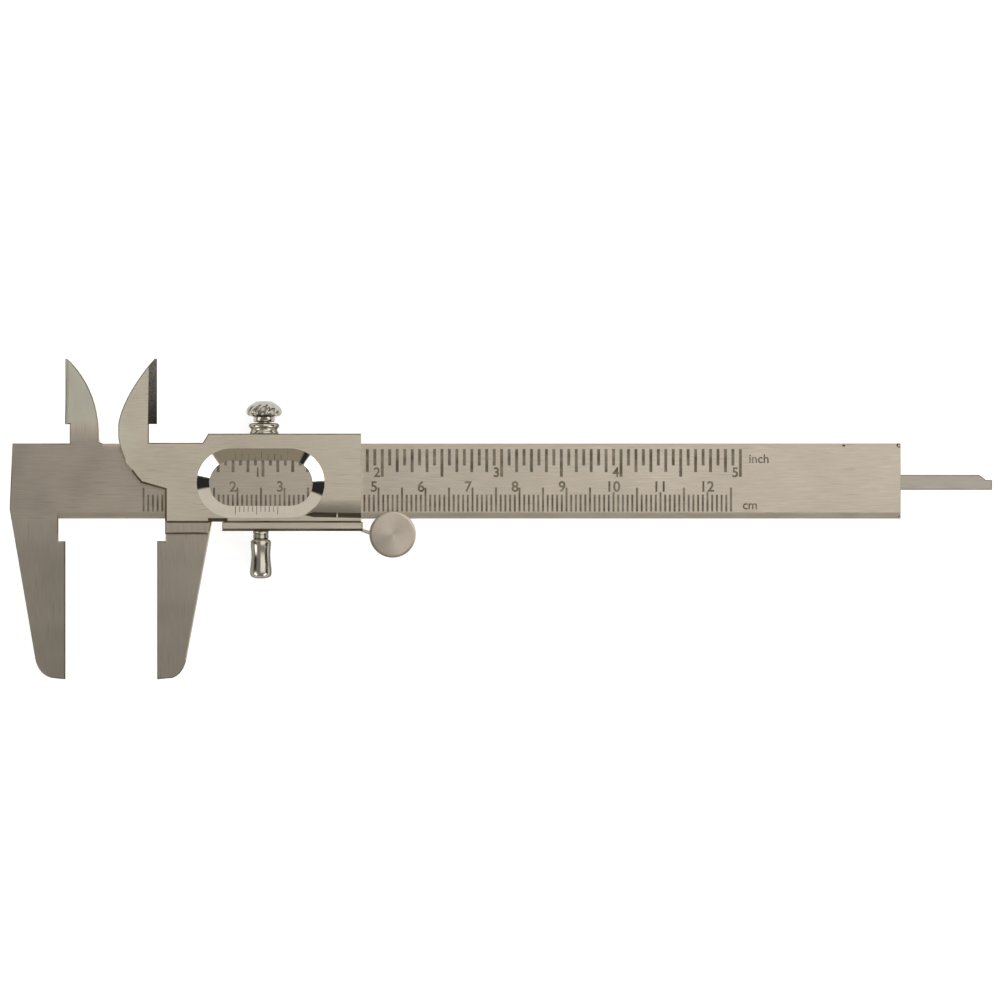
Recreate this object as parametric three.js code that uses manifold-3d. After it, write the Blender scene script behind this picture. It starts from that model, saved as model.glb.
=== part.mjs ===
// A vernier caliper lying on its back: beam along X, inside jaws towards +Y, scale face up (+Z).
// Lengths are millimetres. While the pieces are made, X = 0 is the fixed outside jaw's measuring
// face, Y = 0 is the beam's centre line and Z = 0 is the surface that the caliper lies on.
import * as THREE from 'three';
import { mergeVertices } from 'three/addons/utils/BufferGeometryUtils.js';
import Module from 'manifold-3d';

const wasm = await Module();
wasm.setup();

// ---- Driving dimensions -------------------------------------------------------------------

const jawOpening = 19.6;
const fixedGap = 0.05;
const slidingGap = 0.1;
const roundSegments = 28;
const smallHoleSegments = 16;

// Layers from the back of the caliper to its front.
const backPlateTop = 2.0;
const beamBottom = backPlateTop + slidingGap;
const beamThickness = 3.2;
const beamTop = beamBottom + beamThickness;
const frontPlateBottom = beamTop + slidingGap;
const frontPlateThickness = 1.8;
const frontPlateTop = frontPlateBottom + frontPlateThickness;

const beam = { halfHeight: 8, backX: -11.2, heelX: -11.8, heelY: -6, endX: 177.8 };
const beamChamfer = { left: 8, width: 0.8, depth: 0.35 };
const beamFall = { width: 1.3, depth: 0.14 };
const jaw = { tipY: -42.2, shoulderY: -12.8, relief: 1.5, tipRoundY: -38.1 };
const nib = {
  tipY: 26, shoulderY: 12.1, step: 1, bevelWidth: 1.66, edgeThickness: 0.35, landWidth: 0.75, landDepth: 0.15,
};

// The rest is measured from the sliding jaw's face, because it moves with the slider.
const plate = {
  left: 1.75, right: 43.4, stepX: 9.8, stepTopX: 11, stepY: 8.1, topY: 10.06, bottomY: -8.66, neckX: -8.15,
};
const windowShape = { x: 22.1, y: -0.45, straightHalf: 6.2, innerRadius: 4.82, bevelWidth: 2.55, lip: 0.2 };
const rollOff = { left: 32, startY: -3.9, endY: -6.9, drop: 0.5, steps: 5, rim: 0.2 };
const groove = {
  pointX: 31.4, pointY: -7.25, fullX: 33.2, leftTopY: -6.65, rightTopY: -6.87, height: 1.02, depth: 1.2,
  webLeft: 38.2, webRight: 38.5,
};
const cornerSlot = { left: 11.1, right: 14.9, topY: -8.05, depth: 0.9 };
const jawRoot = { right: 11.6, taper: 0.5, frontZ: 6.6, bottomY: -11.3, chamfer: 0.5 };
const rod = {
  left: 2.4, bottomY: -1.85, topY: 1.3, bottomZ: 2.35, topZ: 3.75, footRight: 15,
  tipY: 0.2, tipLength: 1.3, slope: 1.4, sideGap: 0.13, topGap: 0.25,
};
const lockScrew = {
  x: 22.7, z: 3.85, shaftRadius: 1.5, neckRadius: 2.3, headRadius: 3.8, boreGap: 0.1,
  bossRadius: 3.25, bossWaist: 2.8, bossFoot: 3.1, bossTopY: 12.35,
};
const gib = {
  left: 14.4, right: 39.9, bottomY: 8.3, topY: 8.9, bottomZ: 2.3, topZ: 5.2, recessTopY: 9.15, endGap: 0.5,
};
const arm = {
  left: 13.9, right: 43.7, topY: -8.72, bottomY: -10.65, bottomZ: 2.1, topZ: 6.4,
  chamferWidth: 0.55, chamferDepth: 0.45, leaf: 0.6, leafBottomZ: 2.7, leafTopZ: 4.7,
};
const roller = { x: 50.1, y: -11.4, flangeRadius: 5, flangeThickness: 0.8, neckRadius: 3.35, rim: 0.2 };
const button = {
  x: 22, z: 3.7, endY: -20.8, shoulderY: -12.4, neckTopY: -10.6, neckRadius: 1.66,
  stemRadius: 1.05, ledgeTopY: -9.05, boreRadius: 1.85,
};
const pad = { radius: 1.6, thickness: 0.4 };
const spring = { topY: -9.45, bottomY: -10.55, meanRadius: 1.45, wireRadius: 0.12, turns: 2.5 };

// Screws and rivets, all with flush heads on the back: their places, head, shank and length.
const pinGap = 0.1;
const pinHeadTop = 0.65;
const topScrew = { places: [[12.4, 9], [42, 9]], head: 0.75, shank: 0.45, length: 3.6 };
const jawScrew = { places: [[4.4, -10], [9.2, -10]], head: 1.15, shank: 0.75, length: 4.4 };
const armRivet = { places: [[17.4, -9.65], [37.9, -9.65]], head: 0.75, shank: 0.5, length: 4.2 };
const rodRivet = { places: [[6.9, -0.28], [11.4, -0.28]], head: 1.1, shank: 0.7, length: 3.2 };

// The stop plate under the beam's end is measured from the fixed jaw's face again.
const stopPlate = { left: 169, halfHeight: 6 };
const stopRivetX = (stopPlate.left + beam.endX) / 2;
const stopRivet = {
  places: [[stopRivetX, -4.2], [stopRivetX, 4.2]], head: 1.35, shank: 0.8, length: beamBottom + 1.2,
};

// ---- Geometry helpers ---------------------------------------------------------------------

function box(x0, x1, y0, y1, z0, z1) {
  const geometry = new THREE.BoxGeometry(x1 - x0, y1 - y0, z1 - z0);
  return geometry.translate((x0 + x1) / 2, (y0 + y1) / 2, (z0 + z1) / 2);
}

// Extrudes an outline in the XY plane between two heights.
function slab(outline, z0, z1) {
  const geometry = new THREE.ExtrudeGeometry(outline, {
    depth: z1 - z0, bevelEnabled: false, curveSegments: 14,
  });
  return geometry.translate(0, 0, z0);
}

function outlineOf(points) {
  return new THREE.Shape(points.map(([x, y]) => new THREE.Vector2(x, y)));
}

// A prism whose triangular or four-sided section lies in the XZ plane and runs along Y.
function prismAlongY(section, y0, y1) {
  const geometry = slab(outlineOf(section), -y1, -y0);
  return geometry.rotateX(Math.PI / 2);
}

// A prism whose section is given as [y, z] points and runs along X.
function prismAlongX(section, x0, x1) {
  const geometry = slab(outlineOf(section), x0, x1);
  return geometry.applyMatrix4(new THREE.Matrix4().set(
    0, 0, 1, 0,
    1, 0, 0, 0,
    0, 1, 0, 0,
    0, 0, 0, 1,
  ));
}

// A turned piece whose profile is a list of [radius, height] points from bottom to top.
function turned(profile, segments = roundSegments) {
  return new THREE.LatheGeometry(profile.map(([r, h]) => new THREE.Vector2(r, h)), segments);
}

function alongY(geometry, x, z) {
  return geometry.translate(x, 0, z);
}

function alongZ(geometry, x, y) {
  return geometry.rotateX(Math.PI / 2).translate(x, y, 0);
}

function pinAlongY(x, z, radius, y0, y1) {
  return alongY(turned([[0, y0], [radius, y0], [radius, y1], [0, y1]]), x, z);
}

function pinAlongZ(x, y, radius, z0, z1) {
  return alongZ(turned([[0, z0], [radius, z0], [radius, z1], [0, z1]], smallHoleSegments), x, y);
}

// ---- Joining and cutting ------------------------------------------------------------------

function toSolid(geometry) {
  const bare = geometry.clone();
  bare.deleteAttribute('normal');
  bare.deleteAttribute('uv');
  const merged = mergeVertices(bare);
  return new wasm.Manifold(new wasm.Mesh({
    numProp: 3,
    vertProperties: new Float32Array(merged.attributes.position.array),
    triVerts: new Uint32Array(merged.index.array),
  }));
}

function toGeometry(solid) {
  const { vertProperties, triVerts } = solid.getMesh();
  const geometry = new THREE.BufferGeometry();
  geometry.setAttribute('position', new THREE.BufferAttribute(vertProperties, 3));
  geometry.setIndex(new THREE.BufferAttribute(triVerts, 1));
  geometry.computeVertexNormals();
  return geometry;
}

// Joins the first list of geometries and cuts the second list out of them.
function shaped(added, removed = []) {
  const body = added.map(toSolid).reduce((whole, next) => whole.add(next));
  const rest = removed.map(toSolid).reduce((whole, next) => whole.subtract(next), body);
  return toGeometry(rest);
}

// ---- Materials ----------------------------------------------------------------------------

function metal(color, roughness) {
  return new THREE.MeshStandardMaterial({ color, roughness, metalness: 1 });
}

const finishes = {
  satinSteel: () => metal(0xa3988a, 0.38),
  satinSlider: () => metal(0xaca28f, 0.36),
  chrome: () => metal(0xd8d4cb, 0.12),
  turnedSteel: () => metal(0xa59a89, 0.3),
  springSteel: () => metal(0x8f8a80, 0.3),
  brass: () => metal(0xb39a5c, 0.35),
};

function piece(name, geometry, finish) {
  const mesh = new THREE.Mesh(geometry, finishes[finish]());
  mesh.name = name;
  return mesh;
}

// ---- Beam with the fixed jaws -------------------------------------------------------------

function beamOutline() {
  const outline = new THREE.Shape();
  const top = beam.halfHeight;
  outline.moveTo(beam.backX, top);
  outline.lineTo(beam.heelX, beam.heelY);
  outline.lineTo(-6.3, jaw.tipRoundY);
  outline.quadraticCurveTo(-5.5, -41.3, -2.8, -41.9);
  outline.lineTo(0, jaw.tipY);
  outline.lineTo(0, jaw.shoulderY);
  outline.lineTo(-jaw.relief, jaw.shoulderY);
  outline.lineTo(-jaw.relief, -top);
  outline.lineTo(beam.endX, -top);
  outline.lineTo(beam.endX, top);
  outline.lineTo(8, top);
  outline.quadraticCurveTo(7.2, top + 0.05, 7.15, 9);
  outline.lineTo(7.15, 10.85);
  outline.quadraticCurveTo(6.7, 20, 0.5, nib.tipY);
  outline.lineTo(0, nib.tipY);
  outline.lineTo(0, nib.shoulderY);
  outline.lineTo(nib.step, nib.shoulderY);
  outline.lineTo(nib.step, top);
  return outline;
}

function mainBeam() {
  const top = beam.halfHeight;
  const pastEnd = beam.endX + 1;
  const topChamfer = prismAlongX([
    [top + 0.5, beamTop - beamChamfer.depth], [top, beamTop - beamChamfer.depth],
    [top - beamChamfer.width, beamTop], [top - beamChamfer.width, beamTop + 1], [top + 0.5, beamTop + 1],
  ], beamChamfer.left, pastEnd);
  const bottomFall = prismAlongX([
    [-top - 0.5, beamTop + 1], [-top + beamFall.width, beamTop + 1], [-top + beamFall.width, beamTop],
    [-top, beamTop - beamFall.depth], [-top - 0.5, beamTop - beamFall.depth],
  ], -jaw.relief, pastEnd);
  const rodGroove = box(
    2, pastEnd, rod.bottomY - rod.sideGap, rod.topY + rod.sideGap, 0, rod.topZ + rod.topGap,
  );
  const nibBevel = prismAlongY([
    [-0.5, beamBottom - 0.5], [nib.bevelWidth, beamBottom - 0.5], [nib.bevelWidth, beamBottom],
    [0, beamTop - nib.edgeThickness], [-0.5, beamTop - nib.edgeThickness],
  ], nib.shoulderY, nib.tipY + 1);
  const nibLand = prismAlongY([
    [-0.5, beamTop - nib.landDepth], [0, beamTop - nib.landDepth], [nib.landWidth, beamTop],
    [nib.landWidth, beamTop + 0.5], [-0.5, beamTop + 0.5],
  ], nib.shoulderY, nib.tipY + 1);
  const body = slab(beamOutline(), beamBottom, beamTop);
  return shaped([body], [topChamfer, bottomFall, rodGroove, nibBevel, nibLand, ...flushHoles(stopRivet)]);
}

function tailStopPlate() {
  const height = stopPlate.halfHeight;
  const block = box(stopPlate.left, beam.endX, -height, height, 0, beamBottom - fixedGap);
  return shaped([block], flushHoles(stopRivet));
}

// A rivet or screw: a flat head sunk in a counterbore on the back, and its shank.
function flushPin(x, y, { head, shank, length }) {
  const profile = [
    [0, fixedGap], [head, fixedGap], [head, pinHeadTop], [shank, pinHeadTop], [shank, length], [0, length],
  ];
  return alongZ(turned(profile, smallHoleSegments), x, y);
}

// The counterbored holes that one kind of pin sits in.
function flushHoles({ places, head, shank, length }) {
  return places.flatMap(([x, y]) => [
    pinAlongZ(x, y, head + pinGap, -1, pinHeadTop + pinGap),
    pinAlongZ(x, y, shank + pinGap, -1, length + pinGap),
  ]);
}

// ---- Slider -------------------------------------------------------------------------------

function frontPlateOutline() {
  const outline = new THREE.Shape();
  outline.moveTo(0, nib.tipY);
  outline.lineTo(-0.5, nib.tipY);
  outline.quadraticCurveTo(-7.2, 18, plate.neckX, nib.shoulderY);
  outline.lineTo(plate.neckX, 9.2);
  outline.quadraticCurveTo(-7.4, 4, -3.3, -0.4);
  outline.lineTo(plate.left, -1.85);
  outline.lineTo(plate.left, plate.bottomY);
  outline.lineTo(plate.right, plate.bottomY);
  outline.lineTo(plate.right, plate.topY);
  outline.lineTo(plate.stepTopX, plate.topY);
  outline.lineTo(plate.stepX, plate.stepY);
  outline.lineTo(-nib.bevelWidth, plate.stepY);
  outline.lineTo(-nib.bevelWidth, nib.shoulderY);
  outline.lineTo(0, nib.shoulderY);
  return outline;
}

function stadium(radius) {
  const { x, y, straightHalf } = windowShape;
  const outline = new THREE.Shape();
  outline.moveTo(x - straightHalf, y - radius);
  outline.lineTo(x + straightHalf, y - radius);
  outline.absarc(x + straightHalf, y, radius, -Math.PI / 2, Math.PI / 2, false);
  outline.lineTo(x - straightHalf, y + radius);
  outline.absarc(x - straightHalf, y, radius, Math.PI / 2, Math.PI * 1.5, false);
  return outline;
}

// The window widens towards the front by a flat bevel, which carries the vernier scales.
function windowCut() {
  const bevelDepth = frontPlateThickness - windowShape.lip;
  const bevelled = new THREE.ExtrudeGeometry(stadium(windowShape.innerRadius), {
    depth: 2, curveSegments: 14, bevelEnabled: true, bevelSegments: 1,
    bevelSize: windowShape.bevelWidth, bevelThickness: bevelDepth,
  });
  bevelled.translate(0, 0, frontPlateTop);
  const through = slab(stadium(windowShape.innerRadius), frontPlateBottom - 1, frontPlateTop);
  return [bevelled, through];
}

// Right of a narrow rim round the window, the plate's front curves down towards the groove.
function rollOffCut() {
  const { left, startY, endY, drop, steps, rim } = rollOff;
  const curve = Array.from({ length: steps + 1 }, (_, step) => {
    const share = step / steps;
    return [startY + (endY - startY) * share, frontPlateTop - drop * share ** 2];
  });
  const above = frontPlateTop + 1;
  const low = frontPlateTop - drop;
  const fall = prismAlongX([
    [startY, above], ...curve, [groove.pointY, low], [groove.pointY, above],
  ].reverse(), left, plate.right + 1);
  const { x, y, straightHalf, innerRadius, bevelWidth } = windowShape;
  const kept = pinAlongZ(x + straightHalf, y, innerRadius + bevelWidth + rim, low - 1, above + 1);
  return shaped([fall], [kept]);
}

// A dirt groove along the plate's lower edge, with a pointed left end and a thin web across it.
function grooveCuts() {
  const { pointX, pointY, fullX, leftTopY, rightTopY, height, depth, webLeft, webRight } = groove;
  const past = plate.right + 1;
  const topAt = (x) => leftTopY + (rightTopY - leftTopY) * (x - fullX) / (past - fullX);
  const cut = (corners) => slab(outlineOf(corners), frontPlateTop - depth, frontPlateTop + 1);
  return [
    cut([
      [pointX, pointY], [fullX, topAt(fullX) - height], [webLeft, topAt(webLeft) - height],
      [webLeft, topAt(webLeft)], [fullX, topAt(fullX)],
    ]),
    cut([
      [webRight, topAt(webRight)], [webRight, topAt(webRight) - height], [past, topAt(past) - height],
      [past, topAt(past)],
    ]),
  ];
}

// Front plate, inside jaw and the two rails that guide the slider along the beam's edges.
function sliderBody() {
  const railBottom = backPlateTop + fixedGap;
  const railTop = frontPlateBottom + 0.5;
  const edge = beam.halfHeight + slidingGap;
  const front = slab(frontPlateOutline(), frontPlateBottom, frontPlateTop);
  const topRail = box(plate.stepTopX, plate.right, edge, plate.topY, railBottom, railTop);
  const bottomRail = box(plate.left, plate.right, plate.bottomY, -edge, railBottom, railTop);
  const gibRecess = box(
    gib.left - gib.endGap, gib.right + gib.endGap, beam.halfHeight - 1, gib.recessTopY, 1, frontPlateBottom,
  );
  const screwHole = pinAlongY(lockScrew.x, lockScrew.z, lockScrew.shaftRadius + lockScrew.boreGap, 7, 11);
  const buttonHole = pinAlongY(button.x, button.z, pad.radius + 0.2, -9, -7);
  const nibBevel = prismAlongY([
    [0.5, frontPlateTop + 0.5], [-nib.bevelWidth, frontPlateTop + 0.5], [-nib.bevelWidth, frontPlateTop],
    [0, frontPlateBottom + nib.edgeThickness], [0.5, frontPlateBottom + nib.edgeThickness],
  ], nib.shoulderY, nib.tipY + 1);
  const slot = box(
    cornerSlot.left, cornerSlot.right, plate.bottomY - 1, cornerSlot.topY,
    frontPlateTop - cornerSlot.depth, frontPlateTop + 1,
  );
  return shaped([front, topRail, bottomRail], [
    ...windowCut(), rollOffCut(), ...grooveCuts(), slot, gibRecess, screwHole, buttonHole, nibBevel,
    ...flushHoles(topScrew),
  ]);
}

function slidingOutsideJaw() {
  const { right, taper, frontZ, bottomY, chamfer } = jawRoot;
  const rootTop = plate.bottomY - fixedGap;
  const outline = new THREE.Shape();
  outline.moveTo(0, jaw.shoulderY);
  outline.lineTo(0, jaw.tipY);
  outline.lineTo(3.3, -41.9);
  outline.quadraticCurveTo(5.5, -41, 6.1, jaw.tipRoundY);
  outline.lineTo(right - taper, bottomY);
  outline.lineTo(right, rootTop);
  outline.lineTo(plate.left, rootTop);
  outline.lineTo(plate.left, jaw.shoulderY);
  const blade = slab(outline, beamBottom, beamTop);
  const bandOutline = outlineOf([
    [plate.left, rootTop], [plate.left, bottomY], [right - taper, bottomY], [right, rootTop],
  ]);
  const band = slab(bandOutline, backPlateTop + fixedGap, frontZ);
  const bandChamfer = prismAlongX([
    [bottomY - 1, frontZ + 1], [bottomY - 1, frontZ - chamfer], [bottomY, frontZ - chamfer],
    [bottomY + chamfer, frontZ], [bottomY + chamfer, frontZ + 1],
  ], 0, right + 2);
  return shaped([blade, band], [bandChamfer, ...flushHoles(jawScrew)]);
}

function sliderBackPlate() {
  const outline = outlineOf([
    [plate.left, plate.stepY - 1], [plate.left, jawRoot.bottomY],
    [jawRoot.right - jawRoot.taper - 0.1, jawRoot.bottomY], [jawRoot.right - 0.1, plate.bottomY],
    [arm.left + 0.1, plate.bottomY], [arm.left + 0.1, arm.bottomY], [plate.right - 0.1, arm.bottomY],
    [plate.right - 0.1, plate.topY], [plate.stepTopX, plate.topY], [plate.stepX, plate.stepY],
    [plate.left + 1, plate.stepY],
  ]);
  const holes = [topScrew, jawScrew, armRivet, rodRivet].flatMap(flushHoles);
  return shaped([slab(outline, 0, backPlateTop)], holes);
}

function depthRod() {
  const tipX = beam.endX;
  const outline = outlineOf([
    [rod.left, rod.bottomY], [tipX, rod.bottomY], [tipX, rod.tipY], [tipX - rod.tipLength, rod.tipY],
    [tipX - rod.tipLength - rod.slope, rod.topY], [rod.left, rod.topY],
  ]);
  const blade = slab(outline, rod.bottomZ, rod.topZ);
  const foot = box(
    rod.left, rod.footRight, rod.bottomY, rod.topY, backPlateTop + fixedGap, rod.bottomZ + 0.2,
  );
  return shaped([blade, foot], flushHoles(rodRivet));
}

// ---- Roller arm and thumb roller ----------------------------------------------------------

// A bar whose thin end curls round the roller's neck from below, like an open bearing.
function rollerArm() {
  const bar = box(arm.left, arm.right, arm.bottomY, arm.topY, arm.bottomZ, arm.topZ);
  const inner = roller.neckRadius + 0.15;
  const outer = inner + arm.leaf;
  const curlStart = Math.PI * 0.85;
  const curlEnd = Math.PI * 1.8;
  const curl = new THREE.Shape();
  curl.absarc(roller.x, roller.y, outer, curlStart, curlEnd, false);
  curl.absarc(roller.x, roller.y, inner, curlEnd, curlStart, true);
  const leaf = outlineOf([
    [arm.right - 0.5, arm.bottomY], [roller.x - outer + 0.1, roller.y - 0.4],
    [roller.x - inner - 0.15, roller.y + 0.4], [arm.right - 0.5, arm.bottomY + arm.leaf],
  ]);
  const edgeChamfer = prismAlongX([
    [arm.bottomY - 1, arm.topZ + 1], [arm.bottomY - 1, arm.topZ - arm.chamferDepth],
    [arm.bottomY, arm.topZ - arm.chamferDepth], [arm.bottomY + arm.chamferWidth, arm.topZ],
    [arm.bottomY + arm.chamferWidth, arm.topZ + 1],
  ], arm.left - 1, arm.right + 1);
  const pocket = pinAlongY(button.x, button.z, button.boreRadius, button.ledgeTopY, -8);
  const springBore = pinAlongY(button.x, button.z, button.boreRadius, -12, spring.topY + fixedGap);
  const stemHole = pinAlongY(button.x, button.z, button.stemRadius + lockScrew.boreGap, -12, -8);
  return shaped([
    bar, slab(curl, arm.leafBottomZ, arm.leafTopZ), slab(leaf, arm.leafBottomZ, arm.leafTopZ),
  ], [edgeChamfer, pocket, springBore, stemHole, ...flushHoles(armRivet)]);
}

// A spool: its neck rolls on the beam's lower edge, and its two flanges straddle the beam.
function thumbRoller() {
  const { flangeRadius, flangeThickness, neckRadius, rim } = roller;
  const neckBottom = beamBottom - slidingGap;
  const neckTop = beamTop + slidingGap;
  const profile = [
    [0, neckBottom - flangeThickness], [flangeRadius - rim, neckBottom - flangeThickness],
    [flangeRadius, neckBottom - flangeThickness + rim], [flangeRadius, neckBottom],
    [neckRadius, neckBottom], [neckRadius, neckTop], [flangeRadius, neckTop],
    [flangeRadius, neckTop + flangeThickness - rim], [flangeRadius - rim, neckTop + flangeThickness],
    [0, neckTop + flangeThickness],
  ];
  return alongZ(turned(profile, 48), 0, 0);
}

// ---- Lock screw, gib and thumb button -----------------------------------------------------

function lockScrewBoss() {
  const { x, z, bossRadius, bossWaist, bossFoot, bossTopY } = lockScrew;
  const bottom = plate.topY + fixedGap;
  const collar = turned([
    [0, bottom], [bossFoot, bottom], [bossFoot, bottom + 0.25], [bossWaist, bottom + 0.7],
    [bossWaist, bottom + 0.95], [bossRadius, bottom + 1.4], [bossRadius, bossTopY - 0.3],
    [bossRadius - 0.5, bossTopY], [0, bossTopY],
  ]);
  const bore = pinAlongY(x, z, lockScrew.shaftRadius + lockScrew.boreGap, 9, 14);
  return shaped([alongY(collar, x, z)], [bore]);
}

function lockScrewPiece() {
  const { shaftRadius, neckRadius, headRadius, bossTopY } = lockScrew;
  const foot = gib.topY + fixedGap;
  const neck = bossTopY + 0.25;
  const profile = [
    [0, foot], [shaftRadius, foot], [shaftRadius, neck], [neckRadius, neck], [neckRadius, neck + 1.1],
    [headRadius - 0.4, neck + 1.35], [headRadius, neck + 1.8], [headRadius, neck + 2.4],
    [3.3, neck + 3.25], [1.75, neck + 4.3], [0, neck + 4.4],
  ];
  return turned(profile);
}

function gibStrip() {
  return box(gib.left, gib.right, gib.bottomY, gib.topY, gib.bottomZ, gib.topZ);
}

// The button's stem ends under the brake pad; its waisted grip hangs below the arm.
function thumbButton() {
  const { endY, shoulderY, neckTopY, neckRadius, stemRadius, ledgeTopY } = button;
  const profile = [
    [0, endY], [1.2, endY + 0.1], [1.95, endY + 0.38], [2.3, endY + 0.95], [2.32, endY + 1.9],
    [2.03, endY + 4.9], [2.18, shoulderY - 1.2], [2.15, shoulderY - 0.35], [neckRadius, shoulderY],
    [neckRadius, neckTopY],
    [stemRadius, neckTopY], [stemRadius, ledgeTopY - fixedGap], [0, ledgeTopY - fixedGap],
  ];
  return turned(profile);
}

function brakePad() {
  const bottom = button.ledgeTopY + fixedGap;
  const top = bottom + pad.thickness;
  return turned([[0, bottom], [pad.radius, bottom], [pad.radius, top], [0, top]]);
}

class Helix extends THREE.Curve {
  getPoint(t, target = new THREE.Vector3()) {
    const angle = t * spring.turns * Math.PI * 2;
    const low = spring.bottomY + spring.wireRadius;
    const high = spring.topY - spring.wireRadius;
    return target.set(
      spring.meanRadius * Math.cos(angle), low + (high - low) * t, spring.meanRadius * Math.sin(angle),
    );
  }
}

function buttonSpring() {
  const wire = new THREE.Shape();
  wire.absarc(0, 0, spring.wireRadius, 0, Math.PI * 2, false);
  return new THREE.ExtrudeGeometry(wire, {
    steps: 42, curveSegments: 3, bevelEnabled: false, extrudePath: new Helix(),
  });
}

// ---- Assembly -----------------------------------------------------------------------------

function pinPair(name, sides, pin) {
  return pin.places.map(([x, y], index) => (
    piece(`${name}_${sides[index]}`, flushPin(x, y, pin), 'turnedSteel')
  ));
}

function fixedParts() {
  const group = new THREE.Group();
  group.add(piece('main_beam', mainBeam(), 'satinSteel'));
  group.add(piece('tail_stop_plate', tailStopPlate(), 'satinSteel'));
  group.add(...pinPair('tail_stop_rivet', ['lower', 'upper'], stopRivet));
  return group;
}

function sliderParts() {
  const group = new THREE.Group();
  const sides = ['left', 'right'];
  group.position.x = jawOpening;
  group.add(piece('slider_body', sliderBody(), 'satinSlider'));
  group.add(piece('sliding_outside_jaw', slidingOutsideJaw(), 'satinSteel'));
  group.add(piece('slider_back_plate', sliderBackPlate(), 'satinSlider'));
  group.add(piece('depth_rod', depthRod(), 'satinSteel'));
  group.add(piece('roller_arm', rollerArm(), 'satinSlider'));
  group.add(piece('lock_screw_boss', lockScrewBoss(), 'chrome'));
  group.add(...pinPair('back_plate_screw', sides, topScrew));
  group.add(...pinPair('jaw_screw', sides, jawScrew));
  group.add(...pinPair('arm_rivet', sides, armRivet));
  group.add(...pinPair('depth_rod_rivet', sides, rodRivet));
  return group;
}

// Turned pieces are made about their own axis and put in place by their position.
function placed(mesh, x, y, z) {
  mesh.position.set(x, y, z);
  return mesh;
}

function movingParts() {
  const group = new THREE.Group();
  group.position.x = jawOpening;
  group.add(piece('gib_strip', gibStrip(), 'springSteel'));
  group.add(placed(piece('lock_screw', lockScrewPiece(), 'chrome'), lockScrew.x, 0, lockScrew.z));
  group.add(placed(piece('thumb_button', thumbButton(), 'chrome'), button.x, 0, button.z));
  group.add(placed(piece('brake_pad', brakePad(), 'brass'), button.x, 0, button.z));
  group.add(placed(piece('button_spring', buttonSpring(), 'springSteel'), button.x, 0, button.z));
  group.add(placed(piece('thumb_roller', thumbRoller(), 'turnedSteel'), roller.x, roller.y, 0));
  return group;
}

// The origin is the middle of the whole caliper's outline, on the surface that it lies on.
const caliper = new THREE.Group();
const rodTipX = beam.endX + jawOpening;
caliper.position.set(-(beam.heelX + rodTipX) / 2, -(jaw.tipY + nib.tipY) / 2, 0);
caliper.add(fixedParts(), sliderParts(), movingParts());

export default caliper;
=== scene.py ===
"""Looks of a vernier caliper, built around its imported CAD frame.

The caliper lies on its back with its beam along X and its scale face up. Lengths are written in
millimetres, and MM turns them into Blender's metres. The room's own lengths, such as the camera's
height, are in metres.
"""

import math

import bmesh
import bpy
from mathutils import Matrix, Vector


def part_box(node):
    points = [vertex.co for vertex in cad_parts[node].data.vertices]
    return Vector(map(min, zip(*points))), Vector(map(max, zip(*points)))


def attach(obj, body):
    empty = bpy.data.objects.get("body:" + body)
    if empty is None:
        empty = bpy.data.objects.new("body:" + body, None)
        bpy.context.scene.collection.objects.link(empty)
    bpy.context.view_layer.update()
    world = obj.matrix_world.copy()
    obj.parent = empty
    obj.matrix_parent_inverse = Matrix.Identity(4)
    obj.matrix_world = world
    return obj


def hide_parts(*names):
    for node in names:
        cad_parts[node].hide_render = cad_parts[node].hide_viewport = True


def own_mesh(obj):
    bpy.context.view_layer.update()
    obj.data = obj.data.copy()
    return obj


MM = 0.001
INCH = 25.4

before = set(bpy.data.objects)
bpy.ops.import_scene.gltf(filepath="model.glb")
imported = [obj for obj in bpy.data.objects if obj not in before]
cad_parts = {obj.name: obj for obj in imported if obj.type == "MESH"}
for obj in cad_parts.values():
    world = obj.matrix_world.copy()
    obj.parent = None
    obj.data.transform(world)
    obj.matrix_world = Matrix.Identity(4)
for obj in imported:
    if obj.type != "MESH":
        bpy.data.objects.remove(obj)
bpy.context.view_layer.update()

# ---- Places taken from the frame ------------------------------------------------------------

HEEL_TO_JAW_FACE = 11.8
GIB_TO_SLIDER_ZERO = 14.4
beam_low, beam_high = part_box("main_beam")
stop_low, stop_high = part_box("tail_stop_plate")
jaw_face_x = beam_low.x + HEEL_TO_JAW_FACE * MM
centre_line_y = (stop_low.y + stop_high.y) / 2
slider_zero_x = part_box("gib_strip")[0].x - GIB_TO_SLIDER_ZERO * MM
beam_top_z = beam_high.z
plate_top_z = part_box("slider_body")[1].z


def on_beam(x, y, z=0.0):
    """A point measured from the fixed jaw's face, the beam's centre line and the beam's top."""
    return Vector((jaw_face_x + x * MM, centre_line_y + y * MM, beam_top_z + z * MM))


def on_slider(x, y, z=0.0):
    """A point measured from the sliding jaw's face, the centre line and the front plate's top."""
    return Vector((slider_zero_x + x * MM, centre_line_y + y * MM, plate_top_z + z * MM))


# ---- Driving dimensions ---------------------------------------------------------------------

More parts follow.
